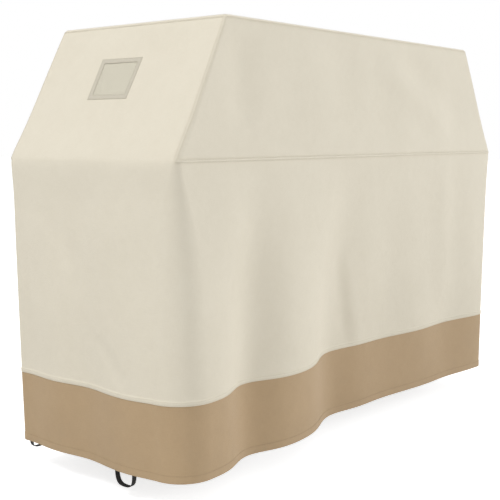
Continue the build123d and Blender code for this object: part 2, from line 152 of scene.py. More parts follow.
def wall_depth(wall, x, z, along):
    """How far inside its plane a wall lies at x, z. along runs from 0 to 1 between the round corners."""
    quarter, _, _, folds = WALLS[wall]
    share = fold_share(z)
    depth = sum(deep * bell(x, place, wide) for place, wide, deep in folds) * share
    roof = smooth_step(z, SHOULDER_Z, SHOULDER_Z + 0.10) * (1 - smooth_step(z, EDGE_Z - 0.10, EDGE_Z))
    loose = 0.15 * bell(z, SHOULDER_Z, 0.04) + smooth_step(share, 0, 0.5) + 0.8 * roof
    depth = depth + slack(x, z, 11 + quarter, 0.0035) * loose
    depth = depth + 0.005 * roof + crease_depth(wall, x, z)
    return depth * (1 - (2 * along - 1) ** 8)


def corner_r(hem_r, z):
    """A corner's radius: from the hip's to the shoulder's up the roof. Below, it opens partly at once,
    within CORNER_OPENS of the shoulder, and for the rest with the folds."""
    above = smooth_step(z, SHOULDER_Z, TOP_Z)
    opened = 0.4 * smooth_step(SHOULDER_Z - z, 0, CORNER_OPENS) + 0.6 * fold_share(z)
    return SHOULDER_R + (HIP_R - SHOULDER_R) * above + opened * (hem_r - SHOULDER_R)


def hang(wall, column, w, lift=0.0):
    """Outer face of the cloth. column runs from 0 to 1 along a wall from one corner seam to the next;
    w is the height from the lid's seam, negative down the walls and, above 0, how far in on the lid.
    At each w the walls are a rounded rectangle: quarter circles joined by straights, pushed in by folds.
    lift moves the whole rectangle outwards."""
    quarter, first_r, last_r, _ = WALLS[wall]
    column, w, lift = np.broadcast_arrays(*(np.asarray(value, float) for value in (column, w, lift)))
    z = EDGE_Z + np.minimum(w, 0)
    on_lid = np.maximum(w, 0)
    over = np.clip(z - (TOP_Z - EDGE_ROLL), 0, EDGE_ROLL)
    turned = EDGE_ROLL - np.sqrt(EDGE_ROLL**2 - over**2) + on_lid
    half_x = HALF_LENGTH - SLOPE_RUN * roof_share(z) - TAPER * np.maximum(SHOULDER_Z - z, 0) - turned
    half_x = half_x + SHOULDER_PUSH * bell(z, SHOULDER_Z, 0.07)
    half_y = HALF_WIDTH - FACE_RUN * roof_share(z) - turned
    flat = np.sqrt(EDGE_ROLL**2 - (EDGE_ROLL - np.minimum(turned, EDGE_ROLL)) ** 2)
    z = np.where(w > 0, TOP_Z - EDGE_ROLL + flat, z) + lift * smooth_step(w, -0.004, 0.004)
    half_x, half_y = half_x + lift, np.maximum(half_y + lift, 0)
    if quarter % 2:
        half_x, half_y = half_y, half_x
    r0, r1 = (np.maximum(corner_r(r, z) + lift - on_lid, 0) for r in (first_r, last_r))
    along = np.clip((column - CORNER_COLUMNS) / (1 - 2 * CORNER_COLUMNS), 0, 1)
    turn0 = np.clip(1 - column / CORNER_COLUMNS, 0, 1) * math.pi / 4
    turn1 = np.clip((column - 1) / CORNER_COLUMNS + 1, 0, 1) * math.pi / 4
    x = -half_x + r0 + (2 * half_x - r0 - r1) * along - r0 * np.sin(turn0) + r1 * np.sin(turn1)
    y = -half_y + r0 * (1 - np.cos(turn0)) + r1 * (1 - np.cos(turn1))
    y = y + np.where(w > 0, 0, wall_depth(wall, x, z, along))
    turn = ((1, 0), (0, 1), (-1, 0), (0, -1))[quarter]
    return np.stack([x * turn[0] - y * turn[1], x * turn[1] + y * turn[0], z], axis=-1)


def round_corner(corner, s, w, lift=0.0):
    """A point a distance s along the cloth from corner seam number corner, positive on to its wall."""
    names = list(WALLS)
    z = EDGE_Z + np.minimum(w, 0)
    half_arc = corner_r(WALLS[names[corner]][1], z) * math.pi / 4
    lengths = (2 * (HALF_LENGTH - SLOPE_RUN * roof_share(z)), 2 * HALF_WIDTH + 0 * z)
    round_part = CORNER_COLUMNS * np.minimum(np.abs(s) / half_arc, 1)
    past = np.maximum(np.abs(s) - half_arc, 0)
    here = hang(names[corner], round_part + past / lengths[corner % 2], w, lift)
    before = hang(names[corner - 1], 1 - round_part - past / lengths[(corner - 1) % 2], w, lift)
    return np.where(np.broadcast_to(s, round_part.shape)[..., None] >= 0, here, before)


def column_at(wall, x, w):
    """The column that lies at x along a wall, at height w."""
    columns = np.linspace(0, 1, 2001)
    quarter = WALLS[wall][0]
    at = hang(wall, columns, np.full(2001, w))
    along = at[:, 0] * (1, 0, -1, 0)[quarter] + at[:, 1] * (0, 1, 0, -1)[quarter]
    return np.interp(x, along, columns)


# ------------------------------------------------------------------ cloth pieces
# Canvas panels are cut flat, so each is a grid of points on the hanging surface with a map of the
# flat cloth on it, in metres, and is given the canvas's own thickness on its inner side.
CANVAS = 0.0009


def mesh_of(name, points, cells, uv):
    """A smooth mesh whose free edges are sharp, so that its turned edge doesn't shade its face."""
    mesh = bpy.data.meshes.new(name)
    mesh.from_pydata(points.reshape(-1, 3), [], cells)
    layer = mesh.uv_layers.new(name="cloth")
    layer.data.foreach_set("uv", uv.reshape(-1, 2)[cells.ravel()].astype(np.float32).ravel())
    mesh.shade_smooth()
    edges = np.zeros(len(mesh.loops), np.int32)
    mesh.loops.foreach_get("edge_index", edges)
    free = np.bincount(edges, minlength=len(mesh.edges)) == 1
    mesh.attributes.new("sharp_edge", "BOOLEAN", "EDGE").data.foreach_set("value", free)
    mesh.update()
    return mesh


def grid_cells(rows, columns, keep=None, closed=False):
    """The four-sided cells of a grid, rows first. keep marks the cells to make."""
    index = np.arange(rows * columns).reshape(rows, columns)
    if closed:
        index = np.concatenate([index, index[:, :1]], axis=1)
    cells = np.stack([index[:-1, :-1], index[:-1, 1:], index[1:, 1:], index[1:, :-1]], axis=-1)
    return (cells if keep is None else cells[keep]).reshape(-1, 4)


def grid_mesh(name, points, uv, keep=None, closed=False):
    return mesh_of(name, points, grid_cells(*points.shape[:2], keep, closed), uv)


def strips_mesh(name, strips):
    """One mesh of several grids of points, each with its own flat map."""
    starts = np.cumsum([0] + [strip.shape[0] * strip.shape[1] for strip in strips])
    cells = [grid_cells(*strip.shape[:2]) + start for strip, start in zip(strips, starts)]
    points = [strip.reshape(-1, 3) for strip in strips]
    maps = [flat_map(strip).reshape(-1, 2) for strip in strips]
    return mesh_of(name, np.concatenate(points), np.concatenate(cells), np.concatenate(maps))


def flat_map(points):
    """Distances along and up a grid, each measured from the grid's middle column and first row."""
    along = np.cumsum(np.linalg.norm(np.diff(points, axis=1), axis=-1), axis=1)
    along = np.pad(along, ((0, 0), (1, 0)))
    up = np.cumsum(np.linalg.norm(np.diff(points, axis=0), axis=-1), axis=0)
    up = np.pad(up, ((1, 0), (0, 0)))
    return np.stack([along - along[:, along.shape[1] // 2, None], up], axis=-1)


def in_scene(name, data):
    thing = bpy.data.objects.new(name, data)
    bpy.context.scene.collection.objects.link(thing)
    return thing


def place_piece(name, mesh, node=None, material=None, thick=0, body="cover"):
    """Puts a finished mesh in the scene, riding on its body and standing for its node, with its material
    and, for cloth, its thickness on the inner side. A piece that bends between two bodies is given none."""
    piece = in_scene(name, mesh)
    if body:
        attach(piece, body)
    if node:
        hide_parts(*([node] if isinstance(node, str) else node))
    if material:
        mesh.materials.append(material)
    if thick:
        solid = piece.modifiers.new("thickness", "SOLIDIFY")
        solid.thickness, solid.offset, solid.use_even_offset = thick, -1, True
    return piece


def grid_piece(name, grid, node, material, thick, closed=False):
    """A piece of one grid of points."""
    mesh = grid_mesh(name, grid, flat_map(grid), closed=closed)
    return place_piece(name, mesh, node, material, thick)


def strips_piece(name, strips, node, material, thick):
    """A piece of several grids of points."""
    return place_piece(name, strips_mesh(name, strips), node, material, thick)


def rows_between(low, high, step, fine=()):
    """Row heights about a step apart, with close rows round each height in fine."""
    rows = list(np.linspace(low, high, max(2, round((high - low) / step) + 1)))
    for place in fine:
        near = place + np.array([-0.004, -0.002, -0.001, 0, 0.001, 0.002, 0.004])
        rows += list(near[(near > low) & (near < high)])
    return np.unique(np.round(rows, 5))


def wall_columns(count, extra=()):
    """Columns along a wall: some round each half corner, the rest evenly between. The first cell is very
    narrow, so that two walls that meet at a corner seam shade alike."""
    corner = CORNER_COLUMNS * np.array([0, 0.004, 0.03, 0.1, 0.2, 0.3, 0.4, 0.5, 0.6, 0.7, 0.8, 0.9])
    middle = np.linspace(CORNER_COLUMNS, 1 - CORNER_COLUMNS, count)
    return np.unique(np.concatenate([corner, middle, 1 - corner, extra]))


def wall_piece(name, wall, rows, count, node, material, lift=0.0, keep=None, extra=()):
    """A cloth panel between the lowest and highest row of one wall."""
    columns = wall_columns(count, extra)
    grid_w, grid_c = np.meshgrid(rows - EDGE_Z, columns, indexing="ij")
    points = hang(wall, grid_c, grid_w, np.broadcast_to(lift, grid_w.shape))
    kept = None if keep is None else keep((points[:-1, :-1] + points[1:, 1:]) / 2)
    return place_piece(name, grid_mesh(name, points, flat_map(points), kept), node, material, CANVAS)


# ------------------------------------------------------------------ the canvas
# A heavy polyester canvas in a plain weave, dyed sand, with slubby yarns and a dull water-shedding
# coat. Its colour is painted a little darker between the yarns, as shade, and is darker in patches towards
# the hem.
class Field:
    """A number or a colour that varies over a surface: a shader socket that sums can be written with."""

    tree = None

    def __init__(self, socket):
        self.socket = socket

    @staticmethod
    def made(kind, settings=None, sockets=None, out=0):
        """Adds a node: its settings first, then the value or link of each named or numbered socket."""
        node = Field.tree.nodes.new(kind)
        for key, value in (settings or {}).items():
            setattr(node, key, value)
        for key, value in (sockets or {}).items():
            if isinstance(value, Field):
                Field.tree.links.new(value.socket, node.inputs[key])
            else:
                node.inputs[key].default_value = value
        return Field(node.outputs[out])

    def math(self, operation, other=0.0, third=0.0):
        """One step of arithmetic, with a second and a third number where it takes them."""
        return Field.made("ShaderNodeMath", {"operation": operation}, {0: self, 1: other, 2: third})

    def __add__(self, other):
        return self.math("ADD", other)

    __radd__ = __add__

    def __sub__(self, other):
        return self.math("SUBTRACT", other)

    def __rsub__(self, other):
        return self.math("MULTIPLY_ADD", -1.0, other)

    def __mul__(self, other):
        return self.math("MULTIPLY", other)

    def waves(self, pitch):
        """Round ridges: the sine, made positive, of this over its pitch."""
        return (self * (math.pi / pitch)).math("SINE").math("ABSOLUTE")

    def step(self, low, high):
        """0 below low, 1 above high, smooth between."""
        sockets = {"Value": self, "From Min": low, "From Max": high}
        return Field.made("ShaderNodeMapRange", {"interpolation_type": "SMOOTHSTEP"}, sockets)

    def mix(self, first, second):
        """The colour first where this is 0 and second where it is 1."""
        mixed = {"data_type": "RGBA"}
        return Field.made("ShaderNodeMix", mixed, {0: self, 6: first, 7: second}, out=2)


def colour(red, green, blue):
    return (red, green, blue, 1.0)


def start_material(name):
    """An empty material and its surface shader."""
    material = bpy.data.materials.new(name)
    material.use_nodes = True
    Field.tree = material.node_tree
    return material, material.node_tree.nodes["Principled BSDF"]


def feed(shader, socket, field):
    Field.tree.links.new(field.socket, shader.inputs[socket])


def roughen(shader, height, strength):
    """Turns the surface by the slope of a height in metres."""
    bump = {"Height": height, "Strength": strength, "Distance": 1.0}
    feed(shader, "Normal", Field.made("ShaderNodeBump", {}, bump))


def parts_of(vector):
    """The three numbers of a vector."""
    node = Field.tree.nodes.new("ShaderNodeSeparateXYZ")
    Field.tree.links.new(vector.socket, node.inputs[0])
    return [Field(output) for output in node.outputs]


def cloth_map():
    return Field.made("ShaderNodeUVMap", {"uv_map": "cloth"})


def own_place():
    return Field.made("ShaderNodeTexCoord", out=3)


def noise(vector, scale, detail=3.0, rough=0.5):
    sockets = {"Vector": vector, "Scale": scale, "Detail": detail, "Roughness": rough}
    return Field.made("ShaderNodeTexNoise", {}, sockets)


def stretched(vector, x, y, z):
    return Field.made("ShaderNodeVectorMath", {"operation": "MULTIPLY"}, {0: vector, 1: (x, y, z)})


def plain_weave(u, v, pitch):
    """Height of a plain weave: two sets of round yarns, each over the other in turn."""
    over = (u * (math.pi / pitch)).math("SINE") * (v * (math.pi / pitch)).math("SINE")
    above = over.step(-0.35, 0.35)
    return u.waves(pitch) * above + v.waves(pitch) * (1 - above)


YARN_PITCH = 0.0009


def canvas_material(name, base, dark, light, hem_darkening):
    """Coated canvas. The last argument is how strongly the cloth nearest the hem is darkened in patches."""
    material, shader = start_material(name)
    cloth, place = cloth_map(), own_place()
    u, v, _ = parts_of(cloth)
    weave = plain_weave(u, v, YARN_PITCH)
    warp_slub = noise(stretched(cloth, 900.0, 60.0, 1.0), 1.0, 2.0)
    weft_slub = noise(stretched(cloth, 60.0, 900.0, 1.0), 1.0, 2.0)
    slub = (warp_slub + weft_slub) * 0.5
    cloudy = noise(place, 3.2, 4.0, 0.55)
    mottle = noise(place, 24.0, 5.0, 0.6)
    shade = slub * 0.5 + cloudy * 0.28 + mottle * 0.22
    tone = shade.step(0.36, 0.64).mix(dark, light)
    tone = Field.made("ShaderNodeMix", {"data_type": "RGBA"}, {0: 0.55, 6: tone, 7: base}, out=2)
    # Painted shade: the colour is darker between the yarns, where the weave is low.
    gap_shade = (1 - weave) * 0.16
    tone = gap_shade.mix(tone, dark)
    # Darker in random patches towards the hem.
    low = 1 - parts_of(place)[2].step(HEM_Z, HEM_Z + 0.30)
    hem_patches = low * noise(place, 11.0, 5.0, 0.65).step(0.45, 0.75) * hem_darkening
    tone = hem_patches.mix(tone, colour(0.30, 0.25, 0.18))
    feed(shader, "Base Color", tone)
    feed(shader, "Roughness", 0.74 + (slub - 0.5) * 0.25 + mottle * 0.08)
    shader.inputs["Specular IOR Level"].default_value = 0.28
    shader.inputs["Sheen Weight"].default_value = 0.12
    shader.inputs["Sheen Roughness"].default_value = 0.5
    wrinkled = noise(place, 38.0)
    roughen(shader, weave * 0.00012 + slub * 0.00035 + wrinkled * 0.0012, 0.7)
    return material


SAND = canvas_material(
    "sand_canvas", colour(0.70, 0.648, 0.532), colour(0.66, 0.606, 0.49), colour(0.74, 0.69, 0.575), 0.04
)
TAN = canvas_material(
    "tan_canvas", colour(0.44, 0.315, 0.185), colour(0.40, 0.283, 0.163), colour(0.485, 0.352, 0.213), 0.08
)

# ------------------------------------------------------------------ thread and stitches
# Bonded polyester thread, sewn by machine in lock stitches about 3 mm long. Each stitch is a short
# swollen bar that lies along its seam and dips into the cloth at both ends.
THREAD = 0.0008
STITCH_PITCH, STITCH_HALF = 0.0042, 0.0042 * 0.39  # needle step, and half of what shows of a stitch


def thread_material(name, base, dark):
    """Twisted thread: slanting plies, a little lighter on their crowns, which is a painted highlight."""
    material, shader = start_material(name)
    place = own_place()
    plies = Field.made("ShaderNodeTexWave", {}, {"Vector": place, "Scale": 700.0, "Distortion": 2.0}, out=1)
    fuzz = noise(place, 260.0, 2.0)
    # Painted highlight: lighter where the plies' bump is high.
    feed(shader, "Base Color", (plies * 0.5 + fuzz * 0.5).step(0.2, 0.7).mix(dark, base))
    feed(shader, "Roughness", 0.6 + fuzz * 0.15)
    roughen(shader, plies * 0.00008, 0.5)
    return material


SAND_THREAD = thread_material("sand_thread", colour(0.68, 0.62, 0.49), colour(0.58, 0.52, 0.40))
TAN_THREAD = thread_material("tan_thread", colour(0.36, 0.26, 0.155), colour(0.26, 0.18, 0.105))


def stitch_row(path, beside, inward=False):
    """Starts, ends and normals of the stitches along a path, spaced evenly by its length. beside is the
    same path moved a little to one side, which with the path gives the cloth's direction."""
    run = np.concatenate([[0], np.cumsum(np.linalg.norm(np.diff(path, axis=0), axis=1))])
    normal = np.cross(np.gradient(path, axis=0), beside - path)
    outward = path - np.array([0, 0, (TOP_Z + HEM_Z) / 2])
    sign = np.sign(np.sum(normal * outward, axis=1, keepdims=True)) * (-1 if inward else 1)
    normal = normal * sign / np.linalg.norm(normal, axis=1, keepdims=True)
    count = max(1, int(run[-1] / STITCH_PITCH))
    middle = (np.arange(count) + 0.5) * run[-1] / count
    read = [(path, middle - STITCH_HALF), (path, middle + STITCH_HALF), (normal, middle)]
    return [np.stack([np.interp(at, run, of[:, axis]) for axis in range(3)], axis=1) for of, at in read]


def sewn(name, rows, material):
    """One piece of every stitch in rows: three four-cornered sections to a stitch, small at the ends."""
    start, end, normal = (np.concatenate([row[i] for row in rows]) for i in range(3))
    side = np.cross(normal, end - start)
    side = side / np.linalg.norm(side, axis=1, keepdims=True)
    share, size = np.array([[0], [0.5], [1.0]]), np.array([0.45, 1, 0.45])
    rise = np.array([[-0.2], [0.35], [-0.2]]) * THREAD
    spine = start[:, None] + (end - start)[:, None] * share + normal[:, None] * rise
    ring = np.array([[1, 0], [0, 1], [-1, 0], [0, -1]]) * THREAD / 2
    ring = side[:, None] * ring[:, :1] + normal[:, None] * ring[:, 1:]
    points = spine[:, :, None] + size[:, None, None] * ring[:, None]
    sides = grid_cells(3, 4, closed=True)[:, ::-1]
    cells = np.concatenate([sides, [[0, 1, 2, 3], [11, 10, 9, 8]]])
    cells = (cells + 12 * np.arange(len(start))[:, None, None]).reshape(-1, 4)
    mesh = mesh_of(name, points, cells, np.zeros((points.size // 3, 2)))
    return place_piece(name, mesh, material=material)


def row_along(wall, w, lift=0.0012):
    """A row of stitches along a wall at height w from the lid's seam."""
    columns = np.linspace(0, 1, 700)
    return stitch_row(hang(wall, columns, w, lift), hang(wall, columns, w - 0.001, lift))


# ------------------------------------------------------------------ front and back skirts
# Two wide panels that hang from the shoulder seams. They are slack, so they fall into folds that
# open towards the band. Their foot is turned up and lapped over the band, which shows as a ridge.
LAP = 0.008
LAP_LIFT = 0.0015
LAP_ROWS = np.array([0, 0.0003, 0.0012, 0.0024, 0.0036, 0.006, 0.008, 0.010, 0.0112, 0.012, 0.013])


def skirt_rows(high, fine=()):
    """Row heights from the lapped foot up, and how far each row is lifted: a ridge over the lap."""
    rows = np.concatenate([BAND_Z - LAP + LAP_ROWS, rows_between(BAND_Z + 0.010, high, 0.0085, fine)])
    above = rows - (BAND_Z - LAP)
    ridge = smooth_step(above, -0.0002, 0.0004) * (1 - smooth_step(above, 0.0105, 0.013))
    lifts = LAP_LIFT * (0.35 + 0.65 * ridge) * (1 - smooth_step(above, 0.0105, 0.014))
    return rows, lifts - 0.0004 * bell(above, 0.0024, 0.0008)


for wall in ("front", "back"):
    rows, lifts = skirt_rows(SHOULDER_Z, fine=(SHOULDER_Z - 0.006,))
    name = wall + "_skirt"
    skirt = wall_piece(name + "_cloth", wall, rows, 300, name, SAND, lifts[:, None])
    flat = (2 * HALF_LENGTH, SHOULDER_Z - BAND_Z + 2 * LAP)

# ------------------------------------------------------------------ front and back above the shoulder
# Two panels between the shoulder seams and the lid, wide at the foot and narrow at the top. Each is
# joined to its skirt by a felled seam: the edges are folded into each other and sewn down twice.
FELL = 0.0095  # width of a felled seam
FELL_LIFTS = 0.0001 * np.array([2, 13, 15, 8, 16, 18, 16, 8, 15, 13, 2])
FELL_ROWS = FELL * np.array([0, 0.01, 0.12, 0.2, 0.3, 0.5, 0.7, 0.8, 0.88, 0.99, 1.0])
FELL_STITCHES = (0.2 * FELL, 0.8 * FELL)
FELL_FOOT = SHOULDER_Z - 0.3 * FELL - EDGE_Z
PUCKER = 0.0085


def puckered(lifts, run):
    """Lifts of a sewn strip: its crown rises and falls a little between stitches, as a slow sine."""
    return lifts[:, None] * (1 + 0.16 * np.sin(2 * math.pi * run / PUCKER + 2 * np.sin(run * 23)))


def felled_seam(wall, foot, rows=FELL_ROWS, lifts=FELL_LIFTS):
    """A felled seam along a wall, its foot at a height from the lid's seam."""
    count, length = (640, 2 * HALF_LENGTH) if wall in ("front", "back") else (280, 2 * HALF_WIDTH)
    grid_w, grid_c = np.meshgrid(foot + rows, wall_columns(count), indexing="ij")
    return hang(wall, grid_c, grid_w, puckered(lifts, grid_c * length))


for wall in ("front", "back"):
    rows = rows_between(SHOULDER_Z, EDGE_Z, 0.008, fine=(SHOULDER_Z + 0.006,))
    roof = wall_piece(wall + "_roof_cloth", wall, rows, 300, wall + "_upper_panel", SAND)
    name = wall + "_shoulder_seam"
    seam = strips_piece(name, [felled_seam(wall, FELL_FOOT)], None, SAND, CANVAS)
    seam_rows = [row_along(wall, FELL_FOOT + at) for at in FELL_STITCHES]
    thread = sewn(wall + "_shoulder_stitches", seam_rows, SAND_THREAD)
    flat = (2 * HALF_LENGTH, TOP_Z - SHOULDER_Z)
    area = (flat[0] - SLOPE_RUN) * flat[1]

# ------------------------------------------------------------------ end panels
# Each end is one piece from the lid to the band. It bends over the shoulder with no seam there, and
# has a window cut high in its slope for the vent.
vent_low, vent_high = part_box("left_vent_binding")
VENT_Y = (vent_low[1] + vent_high[1]) / 2
VENT_Z = (vent_low[2] + vent_high[2]) / 2
SLOPE_COS = (TOP_Z - SHOULDER_Z) / math.hypot(TOP_Z - SHOULDER_Z, SLOPE_RUN)
VENT_HALF_WIDE = (vent_high[1] - vent_low[1]) / 2
VENT_HALF_TALL = VENT_HALF_WIDE * 120 / 140
BINDING = 0.014
VENT_SIDE = {"left": -1, "right": 1}  # which way along the wall the back is
WINDOW_WIDE, WINDOW_TALL = VENT_HALF_WIDE - BINDING + 0.003, VENT_HALF_TALL - BINDING + 0.003


def on_end(wall, across, up, lift=0.0):
    """A point of an end's slope, across and up from the middle of its vent."""
    column = column_at(wall, VENT_SIDE[wall] * VENT_Y + np.asarray(across), VENT_Z - EDGE_Z)
    return hang(wall, column, VENT_Z + np.asarray(up) * SLOPE_COS - EDGE_Z, lift)


def outside_window(middles):
    """True for the cells of an end panel that lie outside its vent window."""
    across = np.abs(middles[..., 1] - VENT_Y) < WINDOW_WIDE
    tall = np.abs(middles[..., 2] - VENT_Z) < WINDOW_TALL * SLOPE_COS
    return ~(across & tall)


for wall in ("left", "right"):
    edges = VENT_Z + np.array([-1, 1]) * WINDOW_TALL * SLOPE_COS
    rows, lifts = skirt_rows(EDGE_Z, fine=(SHOULDER_Z, *edges))
    sides = VENT_SIDE[wall] * VENT_Y + np.array([-1, 1]) * WINDOW_WIDE
    end = wall_piece(
        wall + "_end_cloth", wall, rows, 120, wall + "_end_panel", SAND, lifts[:, None],
        outside_window, column_at(wall, sides, VENT_Z - EDGE_Z),
    )
    slope = math.hypot(TOP_Z - SHOULDER_Z, SLOPE_RUN)
    flat = (2 * HALF_WIDTH, slope + SHOULDER_Z - BAND_Z + 2 * LAP)

# ------------------------------------------------------------------ the hips
# Where an end's slope meets the front or back, the two edges are folded together and sewn down
# twice, which makes a narrow ridge from the shoulder to the lid.
HIP_FELL, HIP_LENGTH = 0.0102, 0.39
SOFT_PLACES = np.linspace(0, 1, 13)
SOFT_LIFTS = 0.0006 * np.sin(math.pi * SOFT_PLACES) ** 0.7 + 0.0001


def hip_seam(corner):
    """A narrow felled seam up one hip: a sine crown, carried up the corner of the hanging surface."""
    w = np.linspace(SHOULDER_Z + 0.002, EDGE_Z - 0.002, 170) - EDGE_Z
    grid_w, grid_s = np.meshgrid(w, HIP_FELL * (SOFT_PLACES - 0.5), indexing="ij")
    return round_corner(corner, grid_s, grid_w, puckered(SOFT_LIFTS, w[None]).T)


hips = strips_piece("hip_seams", [hip_seam(corner) for corner in range(4)], None, SAND, CANVAS)
heights = np.linspace(SHOULDER_Z + 0.004, EDGE_Z - 0.004, 200) - EDGE_Z
hip_rows = []
for corner in range(4):
    for at in (-0.3 * HIP_FELL, 0.3 * HIP_FELL):
        path, beside = (round_corner(corner, at + d, heights, 0.0009) for d in (0, 0.001))
        hip_rows.append(stitch_row(path, beside))
sewn("hip_stitches", hip_rows, SAND_THREAD)
flat = (4 * HIP_LENGTH, HIP_FELL)

# ------------------------------------------------------------------ the lid
# The top panel lies flat on the grill's lid and is turned down over its edges to the seam, which is
# felled and sewn down twice all round.
@contextlib.contextmanager
def reworked(mesh):
    """Opens a mesh for changes to its faces and puts them back when they are done."""
    work = bmesh.new()
    work.from_mesh(mesh)
    yield work
    work.to_mesh(mesh)
    work.free()


def lid_mesh(name):
    """Rings of the hanging surface from the lid's seam inwards, until they meet on its middle line."""
    reach = HALF_WIDTH - FACE_RUN - EDGE_ROLL * (1 - math.cos(math.radians(45)))
    insets = np.concatenate([np.linspace(0, 0.02, 9), np.linspace(0.03, reach, 26)])
    middle = np.linspace(CORNER_COLUMNS, 1 - CORNER_COLUMNS, 70)
    columns = np.concatenate([[0, CORNER_COLUMNS / 2], middle, [1 - CORNER_COLUMNS / 2]])
    grid_w, grid_c = np.meshgrid(insets + 1e-6, columns, indexing="ij")
    points = np.concatenate([hang(wall, grid_c, grid_w) for wall in WALLS], axis=1)
    soft = np.concatenate([smooth_step(grid_w, 0.0, 0.12)] * 4, axis=1)
    points[..., 2] += soft * (slack(points[..., 0], points[..., 1], 5, 0.0014) - 0.003)
    mesh = grid_mesh(name, points, points[..., :2].copy(), closed=True)
    with reworked(mesh) as work:
        bmesh.ops.remove_doubles(work, verts=work.verts, dist=2e-5)
    return mesh


lid = place_piece("lid_cloth", lid_mesh("lid_cloth"), "top_panel", SAND, CANVAS)
edging = [felled_seam(wall, -0.5 * FELL, FELL * SOFT_PLACES, SOFT_LIFTS) for wall in WALLS]
lid_seam = strips_piece("lid_seam", edging, None, SAND, CANVAS)
lid_rows = [row_along(wall, -0.5 * FELL + at) for wall in WALLS for at in FELL_STITCHES]
lid_thread = sewn("lid_stitches", lid_rows, SAND_THREAD)

# ------------------------------------------------------------------ the band and its hem
# A tan band goes all round below the skirts, its top edge under their lapped foot. Its own foot is
# turned up inside and sewn, which makes the hem stiffer than the rest.
HEM_TURN = 0.022
HEM_FOLD_R = 0.0011
HEM_LIFT = 0.0012
BAND_LIFT = 0.0002


def band_profile():
    """(height, lift) from the hidden top edge down, round the fold at the hem and up inside."""
    down = np.linspace(BAND_Z - LAP + 0.004, HEM_Z + HEM_TURN + 0.004, 22)
    near = [HEM_TURN + 0.002, HEM_TURN, HEM_TURN - 0.0015, HEM_TURN - 0.003, 0.014, 0.009, 0.005]
    turn = np.linspace(0, math.pi, 7)
    fold_z = HEM_Z + HEM_FOLD_R * (1 - np.sin(turn))
    inside = HEM_Z + np.linspace(0.004, HEM_TURN, 6)
    outer_z = np.concatenate([down, HEM_Z + np.array(near)])
    above = outer_z - HEM_Z - HEM_TURN
    outer = BAND_LIFT + HEM_LIFT * (1 - smooth_step(above, -0.003, 0.001))
    outer = outer - 0.0007 * bell(above, -0.0025, 0.0014)
    high = BAND_LIFT + HEM_LIFT
    fold = high - HEM_FOLD_R * (1 - np.cos(turn))
    lifts = np.concatenate([outer, fold, np.full(6, high - 2 * HEM_FOLD_R)])
    return np.concatenate([outer_z, fold_z, inside])[::-1], lifts[::-1]


heights, lifts = band_profile()
for wall in WALLS:
    long_wall = wall in ("front", "back")
    count, half, above = (300, HALF_LENGTH, "_skirt_cloth") if long_wall else (110, HALF_WIDTH, "_end_cloth")
    band = wall_piece(
        wall + "_band_cloth", wall, heights, count, wall + "_hem_band", TAN, lifts[:, None]
    )
    rows = [row_along(wall, HEM_Z + HEM_TURN - 0.0025 - EDGE_Z, BAND_LIFT + HEM_LIFT - 0.0004)]
    hem_thread = sewn(wall + "_hem_stitches", rows, TAN_THREAD)
    rows = [row_along(wall, BAND_Z - LAP + at - EDGE_Z, LAP_LIFT) for at in (0.0024, 0.010)]
    sewn(wall + "_lap_stitches", rows, SAND_THREAD)
    flat = (2 * half, BAND_Z - HEM_Z + HEM_TURN)

# ------------------------------------------------------------------ tapes inside the seams
# Every seam is covered inside by a woven polyester tape 12 mm wide, so that the needle holes don't
# leak: along the shoulders, up the hips, down the corners and round the top of the band.
TAPE_HALF, TAPE_THICK, TAPE_INSIDE = 0.006, 0.0007, -0.0021


def ribbed_material(name, base, dark, rib, rough):
    """Narrow woven tape: fine cross ribs with a twill slant, from its own flat map. Its colour is painted
    lighter on the rib crowns and darker between them, as light and shade, mixed with a random mottle.
    """
    material, shader = start_material(name)
    cloth = cloth_map()
    u, v, _ = parts_of(cloth)
    yarn = (u + v * 0.6).waves(rib) * 0.6 + v.waves(rib) * 0.4
    mottle = noise(cloth, 120.0, 3.0)
    # Painted light and shade: lighter on the rib crowns, darker between them.
    feed(shader, "Base Color", (yarn * 0.7 + mottle * 0.3).step(0.1, 0.8).mix(dark, base))
    feed(shader, "Roughness", rough + mottle * 0.12)
    shader.inputs["Specular IOR Level"].default_value = 0.3
    roughen(shader, yarn * 0.00015, 0.8)
    return material


TAPE = ribbed_material("seam_tape", colour(0.66, 0.61, 0.50), colour(0.50, 0.45, 0.35), 0.0011, 0.62)


def level_tape(wall, z):
    """A tape along a wall at height z, inside the cloth, stopping short of the corners."""
    across = np.linspace(-TAPE_HALF, TAPE_HALF, 4)
    grid_w, grid_c = np.meshgrid(z - EDGE_Z + across, np.linspace(0.03, 0.97, 240), indexing="ij")
    return hang(wall, grid_c, grid_w, TAPE_INSIDE)


def corner_tape(corner, low, high):
    """A tape up a corner seam between two heights, inside the cloth."""
    across = np.linspace(-TAPE_HALF, TAPE_HALF, 9)
    grid_w, grid_s = np.meshgrid(np.linspace(low, high, 80) - EDGE_Z, across, indexing="ij")
    return round_corner(corner, grid_s, grid_w, TAPE_INSIDE)


tapes = {
    "shoulder_seam_tapes": [level_tape(wall, SHOULDER_Z) for wall in ("front", "back")],
    "hip_seam_tapes": [corner_tape(corner, SHOULDER_Z + 0.015, EDGE_Z - 0.015) for corner in range(4)],
    "corner_seam_tapes": [corner_tape(corner, BAND_Z + 0.015, SHOULDER_Z - 0.015) for corner in range(4)],
    "band_seam_tapes": [level_tape(wall, BAND_Z) for wall in WALLS],
}
for node, strips in tapes.items():
    strips_piece(node + "_woven", strips, node, TAPE, TAPE_THICK)

